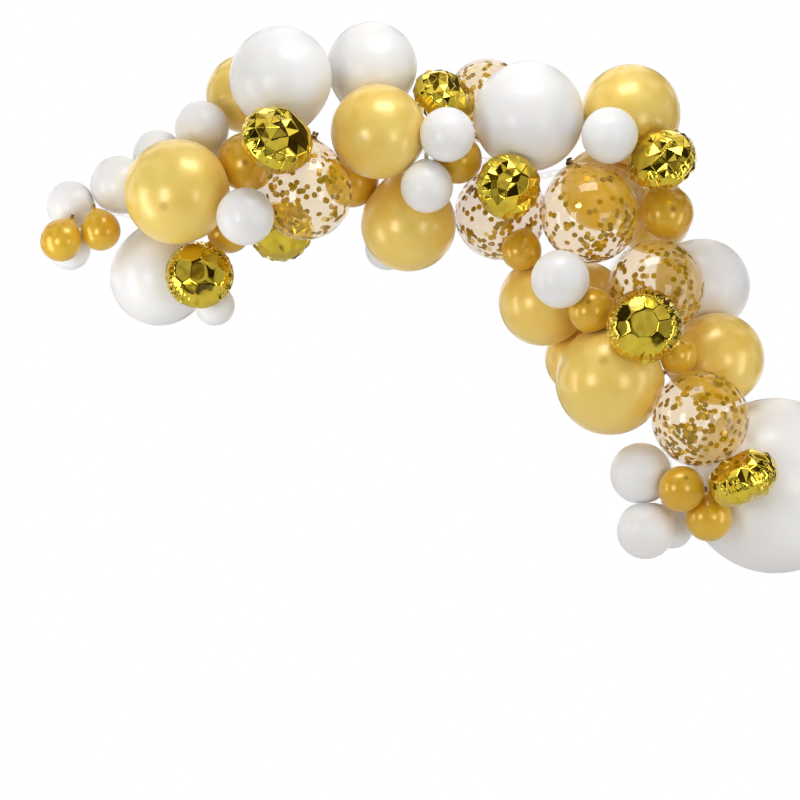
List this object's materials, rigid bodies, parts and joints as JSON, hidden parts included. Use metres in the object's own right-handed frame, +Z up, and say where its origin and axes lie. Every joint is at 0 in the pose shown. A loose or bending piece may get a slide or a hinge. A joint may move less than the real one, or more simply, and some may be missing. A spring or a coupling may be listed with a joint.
{
  "type": "balloon garland",
  "caption": "Arched garland of white, pearl gold, deep gold, clear confetti and gold foil balloons, gathered on a flexible plastic strip.",
  "frame": {"origin": "on the centre line of the strip at the crown of the arch, where the garland is hung", "axes": "+X to the right along the garland as it is seen from the front, +Y to the back, +Z up"},
  "size_m": [2.2178, 0.7058, 1.4903],
  "materials": {
    "white_balloon": "satin white latex with a soft sheen",
    "pearl_gold_balloon": "pale gold latex with a pearl sheen",
    "deep_gold_balloon": "deep gold latex with a metallic sheen",
    "confetti_balloon": "clear latex film, faintly peach, with round gold foil confetti inside",
    "foil_balloon": "mirror-bright yellow gold metallised film, wrinkled at its seam",
    "balloon_strip": "clear flexible plastic strip with paired holes"
  },
  "bodies": {
    "root": {"balloon_strip": "balloon_strip", "white_balloon_01": "white_balloon", "white_balloon_02": "white_balloon", "white_balloon_03": "white_balloon", "white_balloon_04": "white_balloon", "white_balloon_05": "white_balloon", "white_balloon_06": "white_balloon", "white_balloon_07": "white_balloon", "white_balloon_08": "white_balloon", "white_balloon_09": "white_balloon", "white_balloon_10": "white_balloon", "white_balloon_11": "white_balloon", "white_balloon_12": "white_balloon", "white_balloon_13": "white_balloon", "white_balloon_14": "white_balloon", "white_balloon_15": "white_balloon", "white_balloon_16": "white_balloon", "white_balloon_17": "white_balloon", "white_balloon_18": "white_balloon", "white_balloon_19": "white_balloon", "white_balloon_20": "white_balloon", "white_balloon_21": "white_balloon", "pearl_gold_balloon_01": "pearl_gold_balloon", "pearl_gold_balloon_02": "pearl_gold_balloon", "pearl_gold_balloon_03": "pearl_gold_balloon", "pearl_gold_balloon_04": "pearl_gold_balloon", "pearl_gold_balloon_05": "pearl_gold_balloon", "pearl_gold_balloon_06": "pearl_gold_balloon", "pearl_gold_balloon_07": "pearl_gold_balloon", "pearl_gold_balloon_08": "pearl_gold_balloon", "pearl_gold_balloon_09": "pearl_gold_balloon", "pearl_gold_balloon_10": "pearl_gold_balloon", "pearl_gold_balloon_11": "pearl_gold_balloon", "pearl_gold_balloon_12": "pearl_gold_balloon", "deep_gold_balloon_01": "deep_gold_balloon", "deep_gold_balloon_02": "deep_gold_balloon", "deep_gold_balloon_03": "deep_gold_balloon", "deep_gold_balloon_04": "deep_gold_balloon", "deep_gold_balloon_05": "deep_gold_balloon", "deep_gold_balloon_06": "deep_gold_balloon", "deep_gold_balloon_07": "deep_gold_balloon", "deep_gold_balloon_08": "deep_gold_balloon", "deep_gold_balloon_09": "deep_gold_balloon", "deep_gold_balloon_10": "deep_gold_balloon", "deep_gold_balloon_11": "deep_gold_balloon", "deep_gold_balloon_12": "deep_gold_balloon", "confetti_balloon_01": "confetti_balloon", "confetti_balloon_02": "confetti_balloon", "confetti_balloon_03": "confetti_balloon", "confetti_balloon_04": "confetti_balloon", "confetti_balloon_05": "confetti_balloon", "confetti_balloon_06": "confetti_balloon", "foil_balloon_01": "foil_balloon", "foil_balloon_02": "foil_balloon", "foil_balloon_03": "foil_balloon", "foil_balloon_04": "foil_balloon", "foil_balloon_05": "foil_balloon", "foil_balloon_06": "foil_balloon", "foil_balloon_07": "foil_balloon", "foil_balloon_08": "foil_balloon"}
  },
  "joints": []
}
